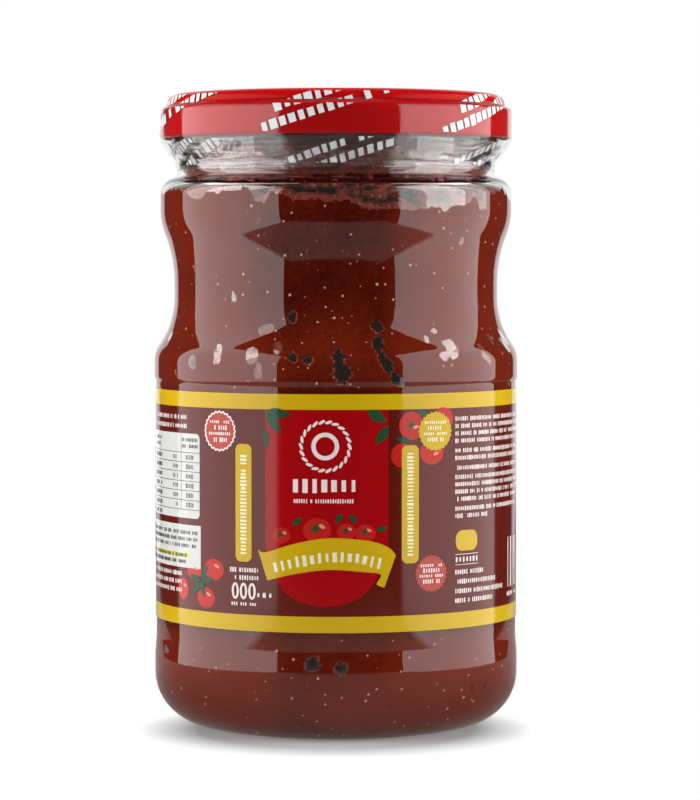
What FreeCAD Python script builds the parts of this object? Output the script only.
import FreeCAD, Part
import Sketcher

import math
import os

# A 720 ml twist-off jar of tomato paste, shut and sealed: a waisted glass jar, the paste inside it, a
# lacquered steel lid, a shrink band over the lid and the neck, and a paper label round the lower body.
# Millimetres, +Z up, the jar's axis on Z, standing on Z = 0, with the middle of the label facing -Y.

SIZES = (
    # glass, outside: the widest radius, and how far the other places stand in from it
    ("body_radius", 43.9, "bumper above the label, the widest place"),
    ("foot_inset", 0.05, "bumper below the label"),
    ("panel_inset", 0.4, "recessed panel that carries the label"),
    ("waist_inset", 4.85, "narrow grip between label and shoulder"),
    ("shoulder_inset", 1.5, "swell below the neck"),
    ("neck_inset", 5.8, "narrowest place, under the lid"),
    ("finish_inset", 4.1, "wall that the lid closes over"),
    ("bearing_width", 2.0, "ring that the jar stands on"),
    # glass, outside: the rise of each stretch of the wall, one on top of the other from the floor up
    ("heel_round", 12.65, "rounded heel"),
    ("foot_rise", 4.25, "upright part of the lower bumper"),
    ("foot_step", 4.6, "gentle slope from the lower bumper to the panel"),
    ("panel_rise", 61.5, "recessed label panel"),
    ("bumper_step", 0.8, "slope from the panel to the upper bumper"),
    ("bumper_rise", 3.9, "upright part of the upper bumper"),
    ("waist_fall", 15.3, "curve from the upper bumper in to the waist"),
    ("waist_rise", 3.5, "upright part of the waist"),
    ("shoulder_swell", 17.7, "curve from the waist out to the shoulder"),
    ("shoulder_rise", 3.3, "upright part of the shoulder"),
    ("neck_fall", 6.1, "curve from the shoulder in to the neck"),
    ("neck_rise", 1.5, "upright part of the neck"),
    ("finish_flare", 2.0, "slope from the neck to the finish"),
    ("finish_rise", 13.95, "upright finish up to the rim"),
    # glass: roundings and walls
    ("bumper_round", 6.7, "rounding above the upper bumper"),
    ("waist_round", 31.0, "hollow between waist and shoulder, on the waist's side"),
    ("shoulder_round", 4.3, "rounding of the shoulder"),
    ("lip_round", 1.1, "rounding of the rim"),
    ("glass_wall", 2.2, "side wall"),
    ("base_wall", 5.0, "floor, above the bearing ring"),
    ("push_up", 3.0, "rise of the domed base"),
    ("inner_heel", 9.0, "rounding inside, from wall to floor"),
    # paste
    ("headspace", 12.6, "from the rim down to the paste"),
    ("paste_gap", 0.1, "between paste and glass"),
    ("crown_bite", 6.5, "radius of a hollow that the paste leaves in the shoulder"),
    ("crown_depth", 1.6, "how deep such a hollow goes in"),
    ("pocket_round", 3.4, "radius of an air pocket lower down"),
    ("pocket_depth", 1.1, "how deep such a pocket goes in"),
    # lid
    ("seal_gap", 0.3, "sealing compound between rim and lid"),
    ("lid_reach", 2.25, "room between the finish and the skirt, for curl and lugs"),
    ("lid_rise", 10.6, "from the lower edge of the curl up to the bead"),
    ("lid_wall", 0.25, "lacquered steel sheet"),
    ("lid_corner", 2.0, "outer rounding of the bead"),
    ("lid_groove", 0.3, "groove below the bead"),
    ("bead_inset", 1.5, "how far the bead stands in from the skirt"),
    ("bead_step", 0.8, "rise of the slope from the skirt in to the groove"),
    ("curl_round", 0.75, "half the thickness of the rolled lower edge"),
    ("well_gap", 1.0, "room between the bore and the sunk panel's wall"),
    ("well_depth", 2.1, "from the bead down to the sunk panel"),
    ("well_slope", 0.8, "how far the sunk panel's wall leans out"),
    ("button_radius", 14.5, "raised safety button"),
    ("button_slope", 1.2, "width of the button's sloping edge"),
    ("button_rise", 0.7, "height of the button"),
    # shrink band
    ("band_film", 0.12, "shrunk film"),
    ("band_gap", 0.1, "between the film and what it hugs"),
    ("band_lap", 4.5, "how far the film lies over the lid's bead"),
    ("band_tuck", 0.4, "how far below the curl the film starts to slant in"),
    ("band_skirt", 1.7, "how far the film runs down the neck, upright"),
    # label
    ("label_paper", 0.12, "paper and varnish"),
    ("label_gap", 0.03, "glue"),
    ("label_foot", 4.7, "from the panel's lower end up to the label"),
    ("label_head", 1.8, "from the label up to the panel's upper end"),
    ("label_wrap", 350.0, "degrees of the jar that the label covers"),
)

# The stretches of the outer wall, from the floor up to a few named places.
TO_FOOT = ("heel_round", "foot_rise")
TO_PANEL = TO_FOOT + ("foot_step",)
TO_PANEL_TOP = TO_PANEL + ("panel_rise",)
TO_BUMPER = TO_PANEL_TOP + ("bumper_step",)
TO_BUMPER_TOP = TO_BUMPER + ("bumper_rise",)
TO_WAIST = TO_BUMPER_TOP + ("waist_fall",)
TO_WAIST_TOP = TO_WAIST + ("waist_rise",)
TO_SHOULDER = TO_WAIST_TOP + ("shoulder_swell",)
TO_SHOULDER_TOP = TO_SHOULDER + ("shoulder_rise",)
TO_NECK = TO_SHOULDER_TOP + ("neck_fall",)
TO_NECK_TOP = TO_NECK + ("neck_rise",)
TO_FINISH = TO_NECK_TOP + ("finish_flare",)
TO_RIM = TO_FINISH + ("finish_rise",)

# Air pockets where the paste never met the glass: degrees round from the front, millimetres up from the lower
# end of their stretch of wall, and size as a share of pocket_round.
BUMPER_POCKETS = (
    (-9, 3.6, 0.8), (-1, 2.2, 1.2), (12, 4.4, 0.7), (17, 1.6, 1.3), (37, 2.5, 1.0), (71, 3.0, 0.9),
    (118, 2.0, 1.2), (171, 3.2, 1.0), (-112, 2.4, 1.1), (-40, 3.4, 0.9),
)
WAIST_POCKETS = ((-28, 1.2, 0.8), (14, 0.8, 0.6), (95, 2.4, 0.7), (-155, 1.6, 0.8))
FOOT_POCKETS = ((-8, 5.8, 0.9), (2, 5.2, 0.7), (58, 3.6, 0.8), (150, 4.2, 0.9), (-96, 3.0, 0.8))
CROWN_BITES = 26
GOLDEN = 0.618034


class Size:
    """A length that knows its number and the expression over the sheet that gives it."""

    def __init__(self, number, text=None):
        self.number = number
        self.text = text or str(number)

    def reckon(self, sign, other, number):
        return Size(number, "(%s %s %s)" % (self.text, sign, sized(other).text))

    def __add__(self, other):
        return self.reckon("+", other, self.number + sized(other).number)

    def __sub__(self, other):
        return self.reckon("-", other, self.number - sized(other).number)

    def __mul__(self, other):
        return self.reckon("*", other, self.number * sized(other).number)

    def __truediv__(self, other):
        return self.reckon("/", other, self.number / sized(other).number)


CELLS = {name: Size(value, "Sizes." + name) for name, value, _ in SIZES}
AXIS = FLOOR = Size(0.0)


def sized(value):
    return value if isinstance(value, Size) else Size(value)


def cell(name):
    """One size of the sheet."""
    return CELLS[name]


def level(names):
    """The height that a stack of stretches reaches."""
    text = " + ".join(cell(name).text for name in names)
    return Size(sum(cell(name).number for name in names), "(%s)" % text)


def wall(place, inside=AXIS):
    """The radius of the glass at a named place, or of what lies that far inside it."""
    if place == "body":
        return cell("body_radius") - inside
    return cell("body_radius") - cell(place + "_inset") - inside


def lid_radius():
    return wall("finish") + cell("lid_reach") + cell("lid_wall")


def lid_top():
    return level(TO_RIM) + cell("seal_gap") + cell("lid_wall")


def fill_sheet(doc):
    """Writes the driving dimensions into the document's spreadsheet."""
    sheet = doc.addObject("Spreadsheet::Sheet", "Sizes")
    for row, (name, value, note) in enumerate(SIZES, start=1):
        sheet.set("A%d" % row, name)
        sheet.set("B%d" % row, str(value))
        sheet.set("C%d" % row, note)
        sheet.setAlias("B%d" % row, name)


class Profile:
    """A closed half section in a body's XZ plane. Every corner and every radius is bound to the sheet."""

    def __init__(self, body, name, radius, height):
        self.body = body
        self.sketch = body.newObject("Sketcher::SketchObject", name)
        plane = [feature for feature in body.Origin.OriginFeatures if feature.Role == "XZ_Plane"][0]
        self.sketch.AttachmentSupport = [(plane, "")]
        self.sketch.MapMode = "FlatFace"
        self.start = self.at = FreeCAD.Vector(radius.number, height.number, 0)
        self.last = None

    def bind(self, size, *what):
        index = self.sketch.addConstraint(Sketcher.Constraint(*what, size.number))
        self.sketch.setExpression("Constraints[%d]" % index, size.text)

    def corner(self, edge, end, radius, height):
        """Binds one end of an edge: on the axis and on the floor it is tied to those lines."""
        for size, kind, line in ((radius, "DistanceX", -2), (height, "DistanceY", -1)):
            if size.number:
                self.bind(size, kind, -1, 1, edge, end)
            else:
                self.sketch.addConstraint(Sketcher.Constraint("PointOnObject", edge, end, line))

    def add(self, shape, start, end, radius, height):
        """Adds an edge after the last one, and binds where it ends."""
        edge = self.sketch.addGeometry(shape, False)
        if self.last is None:
            self.first = (edge, start)
        else:
            self.sketch.addConstraint(Sketcher.Constraint("Coincident", *self.last, edge, start))
        self.last = (edge, end)
        self.at = FreeCAD.Vector(radius.number, height.number, 0)
        if self.at.isEqual(self.start, 1e-6):
            self.sketch.addConstraint(Sketcher.Constraint("Coincident", edge, end, *self.first))
        self.corner(edge, end, radius, height)
        return edge

    def line(self, radius, height):
        to = FreeCAD.Vector(radius.number, height.number, 0)
        self.add(Part.LineSegment(self.at, to), 1, 2, radius, height)

    def arc(self, radius, height, bend, left):
        """An arc of radius bend, less than a half turn. Its centre is left or right of the way there."""
        to = FreeCAD.Vector(radius.number, height.number, 0)
        half = (to - self.at) / 2
        across = FreeCAD.Vector(-half.y, half.x, 0) * (1 if left else -1)
        across.normalize()
        centre = self.at + half + across * math.sqrt(max(bend.number ** 2 - half.Length ** 2, 0))
        ends = (self.at, to) if left else (to, self.at)
        angles = [math.atan2(p.y - centre.y, p.x - centre.x) for p in ends]
        circle = Part.Circle(centre, FreeCAD.Vector(0, 0, 1), bend.number)
        shape = Part.ArcOfCircle(circle, angles[0], angles[1])
        edge = self.add(shape, 1 if left else 2, 2 if left else 1, radius, height)
        self.bind(bend, "Radius", edge)

    def ogee(self, near, far, bend):
        """Two arcs, tangent to each other, between two upright stretches. near and far are the (radius,
        height) where they leave and arrive, and bend is the radius of the arc beside near."""
        step = far[0] - near[0]
        rise = far[1] - near[1]
        inwards, down = step.number < 0, rise.number < 0
        both = (step * step + rise * rise) / (step * (-2 if inwards else 2))
        share = bend / both
        turn = (near[0] + step * share, near[1] + rise * share)
        left = inwards != down
        self.arc(*turn, bend, left)
        self.arc(*far, both - bend, not left)

    def turned(self, angle=None):
        """Turns the section round the axis, all the way or by an angle of the sheet, half to each side."""
        turned = self.body.newObject("PartDesign::Revolution", self.sketch.Name + "Turned")
        turned.Profile = self.sketch
        turned.ReferenceAxis = (self.sketch, ["V_Axis"])
        if angle is not None:
            turned.setExpression("Angle", angle.text)
            turned.Midplane = True
        self.body.Tip = turned


def new_body(doc, name):
    body = doc.addObject("PartDesign::Body", name)
    body.Label = name
    return body


def dome_radius(rim, rise):
    """Radius of a shallow dome over a rim."""
    return (rim * rim + rise * rise) / (rise * 2)


def inner_wall(profile, inside, floor):
    """Draws the inner face of the jar from the neck down to the top of its domed floor. inside is how far it
    lies inside the outer face, and floor the height of its lowest place."""
    profile.line(wall("neck", inside), level(TO_NECK))
    neck = (wall("neck", inside), level(TO_NECK))
    shoulder = (wall("shoulder", inside), level(TO_SHOULDER_TOP))
    across = wall("shoulder") - wall("neck")
    both = (across * across + cell("neck_fall") * cell("neck_fall")) / (across * 2)
    profile.ogee(neck, shoulder, both - cell("shoulder_round") + inside)
    profile.line(wall("shoulder", inside), level(TO_SHOULDER))
    across = wall("shoulder") - wall("waist")
    both = (across * across + cell("shoulder_swell") * cell("shoulder_swell")) / (across * 2)
    shoulder = (wall("shoulder", inside), level(TO_SHOULDER))
    waist = (wall("waist", inside), level(TO_WAIST_TOP))
    profile.ogee(shoulder, waist, both - cell("waist_round") - inside)
    profile.line(wall("waist", inside), level(TO_WAIST))
    across = wall("panel") - wall("waist")
    both = (across * across + cell("waist_fall") * cell("waist_fall")) / (across * 2)
    waist = (wall("waist", inside), level(TO_WAIST))
    panel = (wall("panel", inside), level(TO_BUMPER_TOP))
    profile.ogee(waist, panel, both - cell("bumper_round") + inside)
    heel = cell("inner_heel") - (floor - cell("base_wall"))
    profile.line(wall("panel", inside), floor + heel)
    profile.arc(wall("panel", inside) - heel, floor, heel, left=False)
    crown = dome_radius(wall("panel", inside) - heel, cell("push_up"))
    profile.arc(AXIS, floor + cell("push_up"), crown, left=True)


def make_glass(doc):
    """The jar: outer wall, rim, bore, inner wall and domed floor, turned as one section."""
    p = Profile(new_body(doc, "jar_glass"), "GlassSection", AXIS, cell("push_up"))
    bearing = wall("foot") - cell("heel_round")
    ring = bearing - cell("bearing_width")
    p.arc(ring, FLOOR, dome_radius(ring, cell("push_up")), left=False)
    p.line(bearing, FLOOR)
    p.arc(wall("foot"), cell("heel_round"), cell("heel_round"), left=True)
    p.line(wall("foot"), level(TO_FOOT))
    p.line(wall("panel"), level(TO_PANEL))
    p.line(wall("panel"), level(TO_PANEL_TOP))
    p.line(wall("body"), level(TO_BUMPER))
    p.line(wall("body"), level(TO_BUMPER_TOP))
    p.ogee((wall("body"), level(TO_BUMPER_TOP)), (wall("waist"), level(TO_WAIST)), cell("bumper_round"))
    p.line(wall("waist"), level(TO_WAIST_TOP))
    p.ogee((wall("waist"), level(TO_WAIST_TOP)), (wall("shoulder"), level(TO_SHOULDER)), cell("waist_round"))
    p.line(wall("shoulder"), level(TO_SHOULDER_TOP))
    p.ogee((wall("shoulder"), level(TO_SHOULDER_TOP)), (wall("neck"), level(TO_NECK)), cell("shoulder_round"))
    p.line(wall("neck"), level(TO_NECK_TOP))
    p.line(wall("finish"), level(TO_FINISH))
    lip = cell("lip_round")
    bore = wall("neck", cell("glass_wall"))
    p.line(wall("finish"), level(TO_RIM) - lip)
    p.arc(wall("finish") - lip, level(TO_RIM), lip, left=True)
    p.line(bore + lip, level(TO_RIM))
    p.arc(bore, level(TO_RIM) - lip, lip, left=True)
    inner_wall(p, cell("glass_wall"), cell("base_wall"))
    p.line(AXIS, cell("push_up"))
    p.turned()


def make_paste(doc):
    """The paste: it fills the jar up to the headspace, less the hollows and pockets of trapped air."""
    fill = new_body(doc, "PasteFill")
    inside = cell("glass_wall") + cell("paste_gap")
    top = level(TO_RIM) - cell("headspace")
    p = Profile(fill, "PasteSection", AXIS, top)
    p.line(wall("neck", inside), top)
    inner_wall(p, inside, cell("base_wall") + cell("paste_gap"))
    p.line(AXIS, top)
    p.turned()
    air = doc.addObject("Part::MultiFuse", "TrappedAir")
    air.Shapes = crown_bites(doc, inside) + pockets(doc, inside)
    paste = doc.addObject("Part::Cut", "tomato_paste")
    paste.Base = fill
    paste.Tool = air
    paste.Label = "tomato_paste"


def bite(doc, name, radius, depth, degrees, face, height):
    """A ball that goes depth deep into a face round the axis."""
    ball = doc.addObject("Part::Sphere", name)
    ball.setExpression("Radius", radius.text)
    centre = face + radius - depth
    ball.setExpression("Placement.Base.x", "%s * sin(%.2f deg)" % (centre.text, degrees))
    ball.setExpression("Placement.Base.y", "-%s * cos(%.2f deg)" % (centre.text, degrees))
    ball.setExpression("Placement.Base.z", height.text)
    return ball


def crown_bites(doc, inside):
    """A ring of hollows, uneven in size, place and height, where the shoulder kept its air."""
    balls = []
    for i in range(CROWN_BITES):
        wander = (i * GOLDEN) % 1
        lift = (i * GOLDEN * 3) % 1
        radius = cell("crown_bite") * round(0.75 + 0.5 * wander, 3)
        depth = cell("crown_depth") * round(0.7 + 0.6 * lift, 3)
        degrees = 360.0 * (i + 0.6 * wander) / CROWN_BITES
        height = level(TO_SHOULDER) + cell("shoulder_rise") * round(0.3 + 0.8 * lift, 3)
        balls.append(bite(doc, "CrownBite%02d" % i, radius, depth, degrees, wall("shoulder", inside), height))
    return balls


def pockets(doc, inside):
    """Smaller pockets lower down, each on the stretch of wall that its list belongs to."""
    stretches = (("panel", TO_PANEL_TOP, BUMPER_POCKETS), ("waist", TO_WAIST, WAIST_POCKETS),
                 ("panel", ("heel_round",), FOOT_POCKETS))
    balls = []
    for place, stack, spots in stretches:
        for degrees, rise, share in spots:
            name = "Pocket%02d" % len(balls)
            radius = cell("pocket_round") * share
            depth = cell("pocket_depth") * share
            balls.append(bite(doc, name, radius, depth, degrees, wall(place, inside), level(stack) + rise))
    return balls


def make_lid(doc):
    """The lid: one pressed sheet with safety button, sunk panel, bead, grooved skirt and rolled edge."""
    sheet, corner, groove, curl = cell("lid_wall"), cell("lid_corner"), cell("lid_groove"), cell("curl_round")
    top, skirt = lid_top(), lid_radius()
    low = top - cell("lid_rise")
    panel = top - cell("well_depth")
    raised = panel + cell("button_rise")
    button = cell("button_radius")
    foot = button + cell("button_slope")
    well = wall("neck", cell("glass_wall")) - cell("well_gap") - sheet
    lean = well + cell("well_slope")
    bead = skirt - cell("bead_inset")
    bend = top - corner
    step = bend - groove - cell("bead_step")
    p = Profile(new_body(doc, "lid"), "LidSection", AXIS, raised - sheet)
    p.line(button, raised - sheet)
    p.line(foot, panel - sheet)
    p.line(well + sheet, panel - sheet)
    p.line(lean + sheet, top - sheet)
    p.line(bead - corner, top - sheet)
    p.arc(bead - sheet, bend, corner - sheet, left=False)
    p.line(bead - sheet - groove, bend - groove)
    p.line(skirt - sheet, step)
    inset = curl - sheet
    reach = (curl * curl - inset * inset).number ** 0.5
    seam = Size(reach, "sqrt(%s * %s - %s * %s)" % (curl.text, curl.text, inset.text, inset.text))
    p.line(skirt - sheet, low + curl + seam)
    p.arc(skirt - curl * 2, low + curl, curl, left=True)
    p.arc(skirt - curl, low, curl, left=True)
    p.arc(skirt, low + curl, curl, left=True)
    p.line(skirt, step)
    p.line(bead - groove, bend - groove)
    p.line(bead, bend)
    p.arc(bead - corner, top, corner, left=True)
    p.line(lean, top)
    p.line(well, panel)
    p.line(foot, panel)
    p.line(button, raised)
    p.line(AXIS, raised)
    p.line(AXIS, raised - sheet)
    p.turned()


def make_band(doc):
    """The shrink band: film that laps over the lid's bead, bridges its groove, covers its skirt, slants in to
    the finish's lower corner and hugs the neck below it."""
    gap, film, corner = cell("band_gap"), cell("band_film"), cell("lid_corner")
    out = gap + film
    top, skirt = lid_top(), lid_radius()
    lap = skirt - cell("band_lap")
    bead = skirt - cell("bead_inset")
    bend = top - corner
    step = bend - cell("lid_groove") - cell("bead_step")
    slant = top - cell("lid_rise") - cell("band_tuck")
    end = level(TO_NECK_TOP) - cell("band_skirt")
    p = Profile(new_body(doc, "shrink_band"), "BandSection", lap, top + gap)
    p.line(bead - corner, top + gap)
    p.arc(bead + gap, bend, corner + gap, left=False)
    p.line(skirt + gap, step)
    p.line(skirt + gap, slant)
    p.line(wall("finish") + gap, level(TO_FINISH))
    p.line(wall("neck") + gap, level(TO_NECK_TOP))
    p.line(wall("neck") + gap, end)
    p.line(wall("neck") + out, end)
    p.line(wall("neck") + out, level(TO_NECK_TOP))
    p.line(wall("finish") + out, level(TO_FINISH))
    p.line(skirt + out, slant)
    p.line(skirt + out, step)
    p.line(bead + out, bend)
    p.arc(bead - corner, top + out, corner + out, left=True)
    p.line(lap, top + out)
    p.line(lap, top + gap)
    p.turned()


def make_label(doc):
    """The label: a sleeve of paper round the recessed panel, open at the back, with its middle facing -Y."""
    body = new_body(doc, "label")
    inner = wall("panel") + cell("label_gap")
    outer = inner + cell("label_paper")
    low = level(TO_PANEL) + cell("label_foot")
    high = level(TO_PANEL_TOP) - cell("label_head")
    p = Profile(body, "LabelSection", inner, low)
    p.line(outer, low)
    p.line(outer, high)
    p.line(inner, high)
    p.line(inner, low)
    p.turned(cell("label_wrap"))
    body.Placement = FreeCAD.Placement(FreeCAD.Vector(), FreeCAD.Rotation(FreeCAD.Vector(0, 0, 1), -90))


def check(doc, parts):
    """Stops before anything is written if an object failed or a sub-part is empty or broken."""
    for thing in doc.Objects:
        if {"Invalid", "Error"} & set(thing.State):
            raise RuntimeError("%s did not compute: %s" % (thing.Name, thing.State))
    for part in parts:
        if part.Shape.isNull() or not part.Shape.isValid() or len(part.Shape.Solids) != 1:
            raise RuntimeError("%s is not one sound solid" % part.Label)


def main():
    doc = FreeCAD.newDocument("TomatoPasteJar")
    fill_sheet(doc)
    doc.recompute()
    for make in (make_glass, make_paste, make_lid, make_band, make_label):
        make(doc)
        doc.recompute()
    parts = [doc.getObject(name) for name in ("jar_glass", "tomato_paste", "lid", "shrink_band", "label")]
    check(doc, parts)
    os.makedirs("parts", exist_ok=True)
    for part in parts:
        part.Shape.exportStep("parts/%s.step" % part.Label)
        box = part.Shape.BoundBox
        print("%-14s %10.1f mm3, z %.2f to %.2f, radius %.2f" % (
            part.Label, part.Shape.Volume, box.ZMin, box.ZMax, box.XMax))


main()
